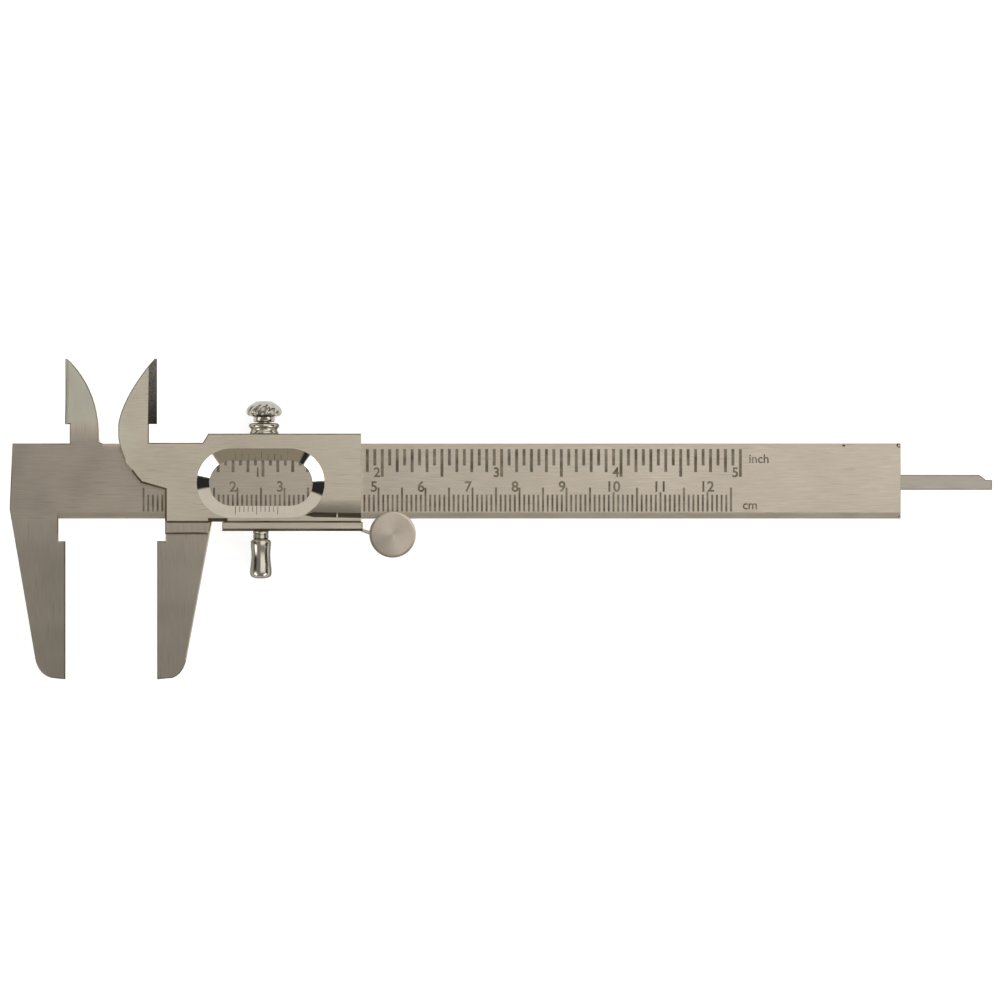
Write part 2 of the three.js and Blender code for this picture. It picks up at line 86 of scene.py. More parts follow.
SCALE = {
    "zero_x": 16.7,
    "metric_marks": 125,
    "metric_foot_y": -6.5,
    "metric_short": 3.6,
    "metric_numbered": 4.1,
    "metric_long": 5.1,
    "metric_width": 0.42,
    "inch_marks": 80,
    "inch_head_y": 6.8,
    "inch_short": 3.5,
    "inch_middle": 4.9,
    "inch_long": 5.9,
    "inch_width": 0.62,
    "inch_pitch": INCH / 16,
}
WINDOW = {"x": 22.1, "y": -0.45, "straight_half": 6.2, "inner": 4.82, "bevel": 2.55, "drop": 1.6}
INK_RISE = 0.012
INK_DEPTH = 0.02
NUMERAL_HEIGHT = 2.25
LABEL_HEIGHT = 1.9
CAPITAL_SHARE = 0.72
EDGE_LEAN = 1.2
EDGE_WIDTH = 0.2
SMALLEST_EASED_FACE = 0.25
BAR_HALF = 8.4
FLUTES = 14
FLUTE_DEPTH = 0.26
ROLLER_TEETH = 64
VIEW_WIDTH = 212.77
CAMERA_HEIGHT = 1.2
SENSOR_WIDTH = 36.0

# ---- Materials ------------------------------------------------------------------------------


def node_material(name):
    material = bpy.data.materials.new(name)
    material.use_nodes = True
    tree = material.node_tree
    return material, tree, tree.nodes["Principled BSDF"]


def noise(tree, stretch, scale, detail=3.0):
    """Noise that is fixed to the piece. A small stretch along an axis draws it out that way."""
    place = tree.nodes.new("ShaderNodeTexCoord")
    mapping = tree.nodes.new("ShaderNodeMapping")
    mapping.inputs["Scale"].default_value = stretch
    texture = tree.nodes.new("ShaderNodeTexNoise")
    texture.inputs["Scale"].default_value = scale
    texture.inputs["Detail"].default_value = detail
    tree.links.new(place.outputs["Object"], mapping.inputs["Vector"])
    tree.links.new(mapping.outputs["Vector"], texture.inputs["Vector"])
    return texture.outputs["Fac"]


def ranged(tree, value, low, high, start=0.3, end=0.7):
    mapped = tree.nodes.new("ShaderNodeMapRange")
    mapped.inputs["From Min"].default_value = start
    mapped.inputs["From Max"].default_value = end
    mapped.inputs["To Min"].default_value = low
    mapped.inputs["To Max"].default_value = high
    tree.links.new(value, mapped.inputs["Value"])
    return mapped.outputs["Result"]


def mixed(tree, factor, dark, light):
    mix = tree.nodes.new("ShaderNodeMix")
    mix.data_type = "RGBA"
    tree.links.new(factor, mix.inputs[0])
    for socket, value in ((mix.inputs[6], dark), (mix.inputs[7], light)):
        if isinstance(value, bpy.types.NodeSocket):
            tree.links.new(value, socket)
        else:
            socket.default_value = (*value, 1.0)
    return mix.outputs[2]


def bumped(tree, shader, height, strength, depth):
    bump = tree.nodes.new("ShaderNodeBump")
    bump.inputs["Strength"].default_value = strength
    bump.inputs["Distance"].default_value = depth * MM
    tree.links.new(height, bump.inputs["Height"])
    tree.links.new(bump.outputs["Normal"], shader.inputs["Normal"])


def tinted(colour, amount):
    return tuple(min(1.0, c * amount) for c in colour)


def faded(tree, colour, fade):
    """Darkens or lightens a colour along one axis, as painted light and shade: (axis, from, to, first share,
    last share).
    """
    axis, start, end, first, last = fade
    place = tree.nodes.new("ShaderNodeTexCoord")
    split = tree.nodes.new("ShaderNodeSeparateXYZ")
    tree.links.new(place.outputs["Object"], split.inputs["Vector"])
    scale = tree.nodes.new("ShaderNodeVectorMath")
    scale.operation = "SCALE"
    tree.links.new(colour, scale.inputs[0])
    tree.links.new(ranged(tree, split.outputs[axis], first, last, start, end), scale.inputs["Scale"])
    return scale.outputs["Vector"]


def metal(name, colour, roughness, grain, spread=0.1, strength=0.25, fade=None):
    """A worked metal. grain is the noise's stretch along X, Y and Z, so the marks run one way."""
    material, tree, shader = node_material(name)
    shader.inputs["Metallic"].default_value = 1.0
    lines = noise(tree, grain, 3200.0, 2.0)
    clouds = noise(tree, (1.0, 1.0, 1.0), 130.0, 4.0)
    scratches = noise(tree, tuple(g * 0.5 for g in grain), 5200.0, 0.0)
    worn = mixed(tree, ranged(tree, clouds, 0.0, 1.0), tinted(colour, 1 - spread), colour)
    brushed = mixed(tree, ranged(tree, lines, 0.0, 1.0), worn, tinted(colour, 1 + spread))
    marked = mixed(tree, ranged(tree, scratches, 0.0, 0.35, 0.72, 0.82), brushed, tinted(colour, 0.6))
    finished = faded(tree, marked, fade) if fade else marked
    tree.links.new(finished, shader.inputs["Base Color"])
    rough = ranged(tree, clouds, roughness - 0.04, roughness + 0.06)
    tree.links.new(rough, shader.inputs["Roughness"])
    bumped(tree, shader, lines, strength, 0.02)
    return material


def polished(name, colour, roughness, shaded_sides=None):
    """Bright metal with a faint haze and ripple. The last argument is the colour of painted shade on its
    upright sides and underside.
    """
    material, tree, shader = node_material(name)
    shader.inputs["Metallic"].default_value = 1.0
    haze = noise(tree, (1.0, 1.0, 1.0), 420.0, 3.0)
    tint = mixed(tree, ranged(tree, haze, 0.0, 1.0), tinted(colour, 0.94), colour)
    # Painted shade: faces turned away from straight up take the dark side colour.
    if shaded_sides:
        place = tree.nodes.new("ShaderNodeTexCoord")
        split = tree.nodes.new("ShaderNodeSeparateXYZ")
        tree.links.new(place.outputs["Normal"], split.inputs["Vector"])
        upright = ranged(tree, split.outputs["Z"], 0.0, 1.0, 0.45, 0.8)
        tint = mixed(tree, upright, shaded_sides, tint)
    tree.links.new(tint, shader.inputs["Base Color"])
    tree.links.new(ranged(tree, haze, roughness * 0.7, roughness * 1.5), shader.inputs["Roughness"])
    bumped(tree, shader, haze, 0.08, 0.02)
    return material


def turned_metal(name, colour, roughness):
    """Metal faced on a lathe: its highlights fan out from the middle."""
    material, tree, shader = node_material(name)
    shader.inputs["Metallic"].default_value = 1.0
    shader.inputs["Anisotropic"].default_value = 0.7
    tangent = tree.nodes.new("ShaderNodeTangent")
    tangent.direction_type = "RADIAL"
    tangent.axis = "Z"
    tree.links.new(tangent.outputs["Tangent"], shader.inputs["Tangent"])
    clouds = noise(tree, (1.0, 1.0, 1.0), 300.0, 4.0)
    tint = mixed(tree, ranged(tree, clouds, 0.0, 1.0), tinted(colour, 0.88), tinted(colour, 1.06))
    tree.links.new(tint, shader.inputs["Base Color"])
    tree.links.new(ranged(tree, clouds, roughness - 0.04, roughness + 0.05), shader.inputs["Roughness"])
    return material


def etched_ink():
    """Dark filling of the etched marks, worn through to a lighter grey in places."""
    material, tree, shader = node_material("etched_ink")
    shader.inputs["Roughness"].default_value = 0.75
    wear = noise(tree, (1.0, 1.0, 1.0), 420.0, 4.0)
    tint = mixed(tree, ranged(tree, wear, 0.0, 1.0, 0.3, 0.7), (0.12, 0.1, 0.075), (0.34, 0.3, 0.24))
    tree.links.new(tint, shader.inputs["Base Color"])
    bumped(tree, shader, wear, 0.3, 0.01)
    return material


NICKEL = (0.68, 0.615, 0.525)
PLATE = (0.79, 0.72, 0.605)
ALONG_X = (0.07, 1.0, 1.0)
ALONG_Y = (1.0, 0.07, 1.0)

# Painted shade: the lower jaws darken towards their tips, where the light falls off.
jaw_painted_shade = ("Y", on_beam(0, -8).y, on_beam(0, -17).y, 1.0, 0.82)
# Painted light: the upper jaw nibs lighten towards their tips.
nib_painted_light = ("Y", on_beam(0, 8).y, on_beam(0, 13).y, 1.0, 1.6)
# Painted light: the slider's front plate and the pieces that share its finish lighten towards their left end.
plate_painted_light = ("X", on_beam(12, 0).x, on_beam(38, 0).x, 1.27, 1.0)
# Painted shade: the plate's rolled lower right corner darkens downwards, as its curve turns from the light.
rolled_painted_shade = ("Y", on_beam(0, -3.9).y, on_beam(0, -6.9).y, 1.0, 0.62)
# Painted shade: the sliding nib's bevel darkens downwards from its tip.
ground_painted_shade = ("Y", on_beam(0, 12.5).y, on_beam(0, 26).y, 0.45, 2.2)

satin_beam = metal("satin_beam", NICKEL, 0.36, ALONG_X, 0.09)
satin_jaw = metal("satin_jaw", NICKEL, 0.36, ALONG_Y, 0.06, fade=jaw_painted_shade)
satin_nib = metal("satin_nib", NICKEL, 0.36, ALONG_Y, 0.04, fade=nib_painted_light)
satin_plate = metal("satin_plate", PLATE, 0.38, ALONG_X, 0.08, fade=plate_painted_light)
rolled_satin = metal("rolled_satin", PLATE, 0.38, ALONG_X, 0.08, fade=rolled_painted_shade)
rod_steel = metal("rod_steel", (0.53, 0.5, 0.44), 0.38, ALONG_X, 0.1)
# Painted shade: a darker, glossier steel on the eased rims, deepening the dark outlines they reflect.
shaded_edge_steel = metal("shaded_edge_steel", (0.4, 0.36, 0.29), 0.22, ALONG_X, 0.15)
# Painted reflection: the nib bevel's near-black steel stands in for the dark that the bevel reflects.
ground_steel_painted_dark = metal("ground_steel_painted_dark", (0.13, 0.12, 0.105), 0.4, (0.6, 1.0, 1.0), 0.6, 0.8, ground_painted_shade)
# Painted shade: near-black fill for the groove's floor and for a painted shadow along the slider's lower left
# outline; it also darkens the dents' insides.
grooved_dark = metal("grooved_dark", (0.11, 0.095, 0.07), 0.5, ALONG_X, 0.3)
bright_bevel = polished("bright_bevel", (0.93, 0.9, 0.85), 0.05)
plated_head = polished("plated_head", (0.5, 0.475, 0.42), 0.22)
# Painted shade: the thumb button and the collar get near-black upright sides and underside.
plated = polished("plated", (0.72, 0.68, 0.6), 0.17, (0.1, 0.09, 0.07))
turned_steel = turned_metal("turned_steel", (0.7, 0.63, 0.54), 0.3)
rivet_steel = metal("rivet_steel", (0.6, 0.56, 0.5), 0.32, (1.0, 1.0, 1.0), 0.12)
spring_steel = metal("spring_steel", (0.45, 0.43, 0.4), 0.3, (1.0, 0.2, 1.0), 0.12)
brass = metal("brass", (0.72, 0.55, 0.24), 0.34, (1.0, 1.0, 1.0), 0.12)
ink = etched_ink()

# ---- Making pieces --------------------------------------------------------------------------


def placed_piece(name, bm, materials, body, replaces=()):
    """Turns mesh code's result into a piece that rides on a body."""
    mesh = bpy.data.meshes.new(name)
    bm.to_mesh(mesh)
    bm.free()
    for material in materials:
        mesh.materials.append(material)
    piece = bpy.data.objects.new(name, mesh)
    bpy.context.scene.collection.objects.link(piece)
    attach(piece, body)
    if replaces:
        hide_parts(*replaces)
    return piece


def smooth(piece, crease_degrees=35.0):
    piece.data.shade_smooth()
    piece.data.set_sharp_from_angle(angle=math.radians(crease_degrees))


def flattened_normals(piece, crease_degrees=18.0):
    """Shades curves smoothly, with every larger flat face kept flat."""
    smooth(piece, crease_degrees)
    weighted = piece.modifiers.new("flat_faces", "WEIGHTED_NORMAL")
    weighted.mode = "FACE_AREA"
    weighted.weight = 80
    weighted.keep_sharp = True


def cad_mesh(node):
    """The node's shape, welded, with its flat faces whole again."""
    bm = bmesh.new()
    bm.from_mesh(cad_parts[node].data)
    bmesh.ops.remove_doubles(bm, verts=bm.verts, dist=0.0005 * MM)
    bmesh.ops.dissolve_limit(
        bm, angle_limit=math.radians(0.4), verts=bm.verts, edges=bm.edges, use_dissolve_boundaries=False
    )
    bmesh.ops.recalc_face_normals(bm, faces=bm.faces)
    return bm


def ease_edges(bm, width, chosen=None, crease_degrees=55.0):
    """Breaks the sharp rims of flat faces with a narrow facet that leans towards the front."""
    edges = []
    for edge in bm.edges:
        start, end = (vert.co for vert in edge.verts)
        level = abs(start.z - end.z) < 0.01 * MM and (start - end).length > 0.05 * MM
        if not level or len(edge.link_faces) != 2 or not edge.is_convex:
            continue
        smallest = min(face.calc_area() for face in edge.link_faces)
        sharp = edge.calc_face_angle() > math.radians(crease_degrees)
        wanted = chosen is None or chosen((start + end) / 2)
        if sharp and wanted and smallest > SMALLEST_EASED_FACE * MM * MM:
            edges.append(edge)
    stretch = Matrix.Diagonal((1, 1, EDGE_LEAN, 1))
    bmesh.ops.transform(bm, matrix=stretch, verts=bm.verts)
    bmesh.ops.bevel(
        bm, geom=edges, offset=width * MM, offset_type="OFFSET", segments=1, profile=0.5,
        affect="EDGES", clamp_overlap=False, material=-1,
    )
    bmesh.ops.transform(bm, matrix=stretch.inverted(), verts=bm.verts)
    bmesh.ops.recalc_face_normals(bm, faces=bm.faces)


def paint_faces(bm, choose):
    bm.normal_update()
    for face in bm.faces:
        face.material_index = choose(face.calc_center_median(), face.normal)


def finished_copy(node, materials, body, width, choose=None, work=None, eased=None):
    """A finished piece with the CAD node's exact shape, eased edges and a finish for each face."""
    bm = cad_mesh(node)
    if work:
        bm = work(bm)
    ease_edges(bm, width, eased)
    if choose:
        paint_faces(bm, choose)
    piece = placed_piece(f"{node}_finished", bm, materials, body, [node])
    flattened_normals(piece)
    return piece


def bitten(bm, bites):
    """Takes small round dents, given as (centre, radius) pairs, out of a shape."""
    shape = bpy.data.meshes.new("bitten_shape")
    bm.to_mesh(shape)
    bm.free()
    holder = bpy.data.objects.new("bitten_shape", shape)
    bpy.context.scene.collection.objects.link(holder)
    dents = bmesh.new()
    for centre, radius in bites:
        place = Matrix.Translation(centre) @ Matrix.Diagonal((1, 1, 0.6, 1))
        bmesh.ops.create_icosphere(dents, subdivisions=2, radius=radius * MM, matrix=place)
    dent_mesh = bpy.data.meshes.new("dents")
    dents.to_mesh(dent_mesh)
    dents.free()
    cutter = bpy.data.objects.new("dents", dent_mesh)
    bpy.context.scene.collection.objects.link(cutter)
    cut = holder.modifiers.new("dents", "BOOLEAN")
    cut.operation = "DIFFERENCE"
    cut.solver = "EXACT"
    cut.object = cutter
    result = bpy.data.meshes.new_from_object(holder.evaluated_get(bpy.context.evaluated_depsgraph_get()))
    fresh = bmesh.new()
    fresh.from_mesh(result)
    for data in (holder, cutter):
        bpy.data.objects.remove(data)
    for mesh in (shape, dent_mesh, result):
        bpy.data.meshes.remove(mesh)
    return fresh


def lathe(profile, segments, ripple=None):
    """Turns [radius, height] points about +Z. ripple(angle, radius, height) may change a radius."""
    bm = bmesh.new()
    rings = []
    for radius, height in profile:
        if radius == 0:
            rings.append([bm.verts.new((0, 0, height * MM))])
            continue
        ring = []
        for step in range(segments):
            angle = 2 * math.pi * step / segments
            reach = ripple(angle, radius, height) if ripple else radius
            x, y = reach * math.cos(angle), reach * math.sin(angle)
            ring.append(bm.verts.new((x * MM, y * MM, height * MM)))
        rings.append(ring)
    for lower, upper in zip(rings, rings[1:]):
        for step in range(segments):
            after = (step + 1) % segments
            corners = [
                lower[step % len(lower)], lower[after % len(lower)],
                upper[after % len(upper)], upper[step % len(upper)],
            ]
            bm.faces.new(list(dict.fromkeys(corners)))
    bmesh.ops.recalc_face_normals(bm, faces=bm.faces)
    return bm


def turned_along_y(profile, x, z, segments, ripple=None):
    """A turned piece whose axis runs along Y through slider point x and height z."""
    bm = lathe(profile, segments, ripple)
    turn = Matrix.Rotation(math.radians(-90), 4, "X")
    shift = Matrix.Translation((slider_zero_x + x * MM, centre_line_y, z * MM))
    bmesh.ops.transform(bm, matrix=shift @ turn, verts=bm.verts)
    return bm


# ---- Beam, jaws and plates ------------------------------------------------------------------


def in_window(point):
    """Whether a point lies within the window's bevelled rim, seen from the front."""
    centre = on_slider(WINDOW["x"], WINDOW["y"])
    along = max(0.0, abs(point.x - centre.x) - WINDOW["straight_half"] * MM)
    reach = math.hypot(along, point.y - centre.y)
    return reach < (WINDOW["inner"] + WINDOW["bevel"] + 0.05) * MM


def is_eased(normal):
    return 0.6 < normal.z < 0.87


def slider_place(point):
    """How far a point is from the sliding jaw's face and from the centre line, in millimetres."""
    return (point.x - slider_zero_x) / MM, (point.y - centre_line_y) / MM


def on_dark_corner(point):
    """Whether a point lies on the slider's lower left outline, whose rims carry a painted shadow against the
    beam.
    """
    across, up = slider_place(point)
    return -6 < across < 2.2 and -8.3 < up < 2.6 and point.z > plate_top_z - 0.6 * MM


def slider_finish(point, normal):
    """0 satin, 1 the window bevel, 2 the nib bevel, painted near black as a dark reflection, 3 painted shade
    in the groove and along the lower left outline, 4 rims painted dark as shade, 5 the rolled corner with
    painted shade.
    """
    across, up = slider_place(point)
    if in_window(point) and 0.5 < normal.z < 0.97:
        return 1
    # The sliding nib's bevel, painted near black as a dark reflection.
    if 0.4 < normal.z < 0.97 and up > 12 and abs(across) < 1.7:
        return 2
    # Painted shade: the floor of the groove at the plate's lower right is painted near black.
    in_groove = up < -6.5 and beam_top_z < point.z < plate_top_z - 0.85 * MM
    if in_groove and normal.z > 0.9 and across > 11 and not in_window(point):
        return 3
    # Painted shade: eased rims and the web's edge are painted dark, near black on the lower left outline.
    on_web = 38.1 < across < 38.6 and -7.95 < up < -6.5
    if is_eased(normal) or on_web:
        return 3 if on_dark_corner(point) else 4
    # Painted shade on the rolled corner, through its fade.
    return 5 if normal.z > 0.8 and across > 31.5 and up < -4 else 0


def plate_rims(point):
    """The slider's rims that are eased and painted dark as shade: not the window's, the groove's or the right
    end's.
    """
    across, up = slider_place(point)
    in_groove = across > 31 and -8.1 < up < -6.4
    return not (in_window(point) or in_groove or across > 43.2)


# Widens the rims along the lower left outline, which carry a painted shadow.
def grimed_corner(bm):
    ease_edges(bm, 0.42, on_dark_corner)
    return bm


NICKS = [
    (on_beam(165.7, 7.35, -0.25), 0.42),
    (on_beam(177.5, 7.6, -0.2), 0.62),
    (on_beam(177.6, -7.7, -0.2), 0.4),
]


def beam_finish(point, normal):
    """0 satin, 1 the dents, painted dark inside, 2 the jaw with painted shade, 3 the nib with painted light,
    4 rims painted dark as shade.
    """
    if any((point - centre).length < 0.95 * radius * MM for centre, radius in NICKS) and normal.z < 0.97:
        return 1
    if is_eased(normal):
        return 4
    if point.y < on_beam(0, -BAR_HALF).y:
        return 2
    return 3 if point.y > on_beam(0, BAR_HALF).y else 0


def dented_beam(bm):
    """The beam with its dents, split where the jaw and the nib leave the bar."""
    bm = bitten(bm, NICKS)
    for side in (-BAR_HALF, BAR_HALF):
        bmesh.ops.bisect_plane(
            bm, geom=[*bm.verts, *bm.edges, *bm.faces], dist=0.001 * MM,
            plane_co=on_beam(0, side), plane_no=(0, 1, 0),
        )
    return bm


# Painted shade: eased rims take the second, darker material.
def worn_edges(point, normal):
    return 1 if is_eased(normal) else 0


finished_copy(
    "main_beam",
    [satin_beam, grooved_dark, satin_jaw, satin_nib, shaded_edge_steel],
    "beam",
    EDGE_WIDTH,
    beam_finish,
    dented_beam,
)
finished_copy(
    "slider_body",
    [satin_plate, bright_bevel, ground_steel_painted_dark, grooved_dark, shaded_edge_steel, rolled_satin],
    "slider",
    EDGE_WIDTH,
    slider_finish,
    grimed_corner,
    plate_rims,
)
finished_copy(
    "sliding_outside_jaw", [satin_jaw, shaded_edge_steel], "slider", EDGE_WIDTH, worn_edges
)
finished_copy(
    "slider_back_plate", [satin_plate, shaded_edge_steel], "slider", EDGE_WIDTH, worn_edges
)
finished_copy("depth_rod", [rod_steel, shaded_edge_steel], "slider", 0.16, worn_edges)
finished_copy("roller_arm", [satin_plate, shaded_edge_steel], "slider", 0.14, worn_edges)
finished_copy("tail_stop_plate", [satin_beam, shaded_edge_steel], "beam", EDGE_WIDTH, worn_edges)
finished_copy("gib_strip", [spring_steel], "gib", 0.1)

# ---- Turned pieces --------------------------------------------------------------------------

screw_low, screw_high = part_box("lock_screw")
SCREW_X = ((screw_low.x + screw_high.x) / 2 - slider_zero_x) / MM
SCREW_Z = (screw_low.z + screw_high.z) / 2 / MM
SCREW_FOOT = (screw_low.y - centre_line_y) / MM
SCREW_TOP = (screw_high.y - centre_line_y) / MM
HEAD_RADIUS = (screw_high.x - screw_low.x) / 2 / MM


def fluted_head(angle, radius, height):
    """Slanting flutes round the head's widest part."""
    if radius < 2.9 or height < SCREW_TOP - 3.2:
        return radius
    slant = (SCREW_TOP - height) * 0.22
    return radius - FLUTE_DEPTH * (0.5 - 0.5 * math.cos(FLUTES * (angle + slant)))


def lock_screw():
    foot, top, widest = SCREW_FOOT, SCREW_TOP, HEAD_RADIUS
    profile = [
        [0, foot], [1.35, foot], [1.5, foot + 0.15], [1.5, top - 4.4], [2.15, top - 4.38],
        [2.3, top - 4.22], [2.3, top - 3.45], [2.4, top - 3.32], [3.1, top - 3.18], [3.5, top - 3.0],
        [3.7, top - 2.78], [widest, top - 2.5], [widest, top - 2.2], [3.76, top - 1.9],
        [3.62, top - 1.55], [3.42, top - 1.25], [3.15, top - 1.0], [2.8, top - 0.75], [2.4, top - 0.48],
        [2.05, top - 0.26], [1.8, top - 0.1], [1.6, top - 0.02], [1.3, top], [1.15, top - 0.08],
        [0, top - 0.1],
    ]
    bm = turned_along_y(profile, SCREW_X, SCREW_Z, 216, fluted_head)
    piece = placed_piece("lock_screw_finished", bm, [plated_head], "lock_screw", ["lock_screw"])
    smooth(piece, 40)


def lock_screw_collar():
    low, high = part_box("lock_screw_boss")
    foot = (low.y - centre_line_y) / MM
    top = (high.y - centre_line_y) / MM
    widest = (high.x - low.x) / 2 / MM
    bore = 1.62
    profile = [
        [bore, foot], [widest - 0.2, foot], [widest - 0.15, foot + 0.08], [widest - 0.17, foot + 0.22],
        [widest - 0.4, foot + 0.55], [widest - 0.45, foot + 0.7], [widest - 0.45, foot + 0.9],
        [widest - 0.3, foot + 1.15], [widest - 0.06, foot + 1.38], [widest, foot + 1.5],
        [widest, top - 0.45], [widest - 0.08, top - 0.25], [widest - 0.3, top - 0.08],
        [widest - 0.6, top], [bore + 0.1, top], [bore, top - 0.1], [bore, foot],
    ]
    bm = turned_along_y(profile, SCREW_X, SCREW_Z, 72)
    bmesh.ops.remove_doubles(bm, verts=bm.verts, dist=0.001 * MM)
    piece = placed_piece("lock_screw_boss_finished", bm, [plated], "slider", ["lock_screw_boss"])
    smooth(piece, 40)


def thumb_button():
    low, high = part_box("thumb_button")
    x = ((low.x + high.x) / 2 - slider_zero_x) / MM
    z = (low.z + high.z) / 2 / MM
    end = (low.y - centre_line_y) / MM
    head = (high.y - centre_line_y) / MM
    profile = [
        [0, end], [0.7, end + 0.02], [1.25, end + 0.1], [1.7, end + 0.24], [1.98, end + 0.4],
        [2.18, end + 0.62], [2.29, end + 0.92], [2.32, end + 1.3], [2.31, end + 1.9], [2.2, end + 2.9],
        [2.08, end + 3.9], [2.03, end + 4.9], [2.06, end + 5.9], [2.14, end + 6.8], [2.18, end + 7.3],
        [2.16, end + 7.9], [2.05, end + 8.15], [1.6, end + 8.4], [1.52, end + 8.5], [1.66, end + 8.66],
        [1.66, end + 9.3], [1.52, end + 9.36], [1.52, end + 9.48], [1.66, end + 9.54], [1.66, end + 10.1],
        [1.58, end + 10.2], [1.05, end + 10.2], [1.05, head - 0.1], [0.95, head], [0, head],
    ]
    bm = turned_along_y(profile, x, z, 72)
    piece = placed_piece("thumb_button_finished", bm, [plated], "thumb_button", ["thumb_button"])
    smooth(piece, 40)


def thumb_roller():
    low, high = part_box("thumb_roller")
    centre = (low + high) / 2
    widest = (high.x - low.x) / 2 / MM
    back, front = low.z / MM, high.z / MM
    flange, neck = 0.8, 3.35

    def knurled(angle, radius, height):
        if radius < widest - 0.01:
            return radius
        return radius - 0.09 * (0.5 - 0.5 * math.cos(ROLLER_TEETH * angle))

    profile = [
        [0, back + 0.06], [0.5, back + 0.06], [0.62, back], [widest - 0.35, back],
        [widest - 0.12, back + 0.08], [widest, back + 0.2], [widest, back + flange - 0.12],
        [widest - 0.14, back + flange], [neck + 0.1, back + flange], [neck, back + flange + 0.1],
        [neck, front - flange - 0.1], [neck + 0.1, front - flange], [widest - 0.14, front - flange],
        [widest, front - flange + 0.12], [widest, front - 0.2], [widest - 0.12, front - 0.08],
        [widest - 0.35, front - 0.01], [widest - 0.6, front], [0, front],
    ]
    bm = lathe(profile, ROLLER_TEETH * 6, knurled)
    bmesh.ops.translate(bm, vec=(centre.x, centre.y, 0), verts=bm.verts)
    name = "thumb_roller"
    piece = placed_piece(f"{name}_finished", bm, [turned_steel], name, [name])
    smooth(piece, 30)


def button_spring():
    """The return spring in the arm's bore, built at its rest length."""
    low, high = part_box("button_spring")
    centre = (low + high) / 2
    wire = 0.12
    mean = (high.x - low.x) / 2 / MM - wire
    turns, steps, sides = 2.5, 70, 10
    rise = (high.y - low.y) / MM - 2 * wire
    bm = bmesh.new()
    rings = []
    for step in range(steps + 1):
        share = step / steps
        angle = share * turns * 2 * math.pi
        ring = []
        for side in range(sides):
            around = 2 * math.pi * side / sides
            reach = mean + wire * math.cos(around)
            ring.append(bm.verts.new((
                centre.x + reach * math.cos(angle) * MM,
                low.y + (wire + rise * share + wire * math.sin(around)) * MM,
                centre.z + reach * math.sin(angle) * MM,
            )))
        rings.append(ring)
    for first, second in zip(rings, rings[1:]):
        for side in range(sides):
            after = (side + 1) % sides
            bm.faces.new((first[side], first[after], second[after], second[side]))
    bm.faces.new(rings[0])
    bm.faces.new(reversed(rings[-1]))
    bmesh.ops.recalc_face_normals(bm, faces=bm.faces)
    name = "button_spring"
    piece = placed_piece(f"{name}_finished", bm, [spring_steel], "slider", [name])
    smooth(piece, 50)
    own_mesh(piece)


def slotted_pin(node, body, slotted):
    """A flush screw or rivet seen from the back, with a slot or a shallow spun dimple."""
    low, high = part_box(node)
    centre = (low + high) / 2
    head = (high.x - low.x) / 2 / MM
    foot, top = low.z / MM, high.z / MM
    shank = 0.6 * head
    dimple = 0.0 if slotted else 0.18
    profile = [
        [0, foot + dimple], [head * 0.25, foot + dimple * 0.8], [head * 0.55, foot + dimple * 0.1],
        [head - 0.12, foot], [head, foot + 0.12], [head, foot + 0.6], [shank, foot + 0.6],
        [shank, top - 0.1], [shank - 0.1, top], [0, top],
    ]
    bm = lathe(profile, 48)
    if slotted:
        for vert in bm.verts:
            inside = math.hypot(vert.co.x, vert.co.y) < (head - 0.02) * MM
            if inside and vert.co.z < (foot + 0.1) * MM and abs(vert.co.y) < 0.16 * MM:
                vert.co.z += 0.3 * MM
    bmesh.ops.translate(bm, vec=(centre.x, centre.y, 0), verts=bm.verts)
    piece = placed_piece(f"{node}_finished", bm, [rivet_steel], body, [node])
    smooth(piece, 30)


lock_screw()
lock_screw_collar()
thumb_button()
thumb_roller()
button_spring()
for screw in ("back_plate_screw", "jaw_screw"):
    for side in ("left", "right"):
        slotted_pin(f"{screw}_{side}", "slider", True)
for rivet in ("arm_rivet", "depth_rod_rivet"):
    for side in ("left", "right"):
        slotted_pin(f"{rivet}_{side}", "slider", False)
for side in ("lower", "upper"):
    slotted_pin(f"tail_stop_rivet_{side}", "beam", False)
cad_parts["brake_pad"].data.materials[0] = brass

# ---- Graduations ----------------------------------------------------------------------------


BLOCK_SIDES = ((3, 2, 1, 0), (4, 5, 6, 7), (0, 1, 5, 4), (1, 2, 6, 5), (2, 3, 7, 6), (3, 0, 4, 7))


def add_block(bm, corners):
    """A thin flat block, given its four lower and four upper corners, which stands for one mark."""
    corners = [bm.verts.new(corner) for corner in corners]
    for side in BLOCK_SIDES:
        bm.faces.new([corners[i] for i in side])


def beam_marks(name, marks, width):
    """Marks on the beam from [x, lower y, upper y] rows."""
    bm = bmesh.new()
    for x, low_y, high_y in marks:
        low = on_beam(x - width / 2, low_y, -0.03)
        high = on_beam(x + width / 2, high_y, INK_RISE)
        outline = ((low.x, low.y), (high.x, low.y), (high.x, high.y), (low.x, high.y))
        add_block(bm, [(x, y, z) for z in (low.z, high.z) for x, y in outline])
    placed_piece(name, bm, [ink], "beam")


def metric_marks():
    """One mark for each millimetre. Those from 10 cm on stop short, under their numerals."""
    marks = []
    foot = SCALE["metric_foot_y"]
    for count in range(SCALE["metric_marks"] + 1):
        if count % 10 == 0 and count >= 100:
            length = SCALE["metric_numbered"]
        elif count % 5 == 0:
            length = SCALE["metric_long"]
        else:
            length = SCALE["metric_short"]
        marks.append([SCALE["zero_x"] + count, foot, foot + length])
    beam_marks("metric_scale", marks, SCALE["metric_width"])


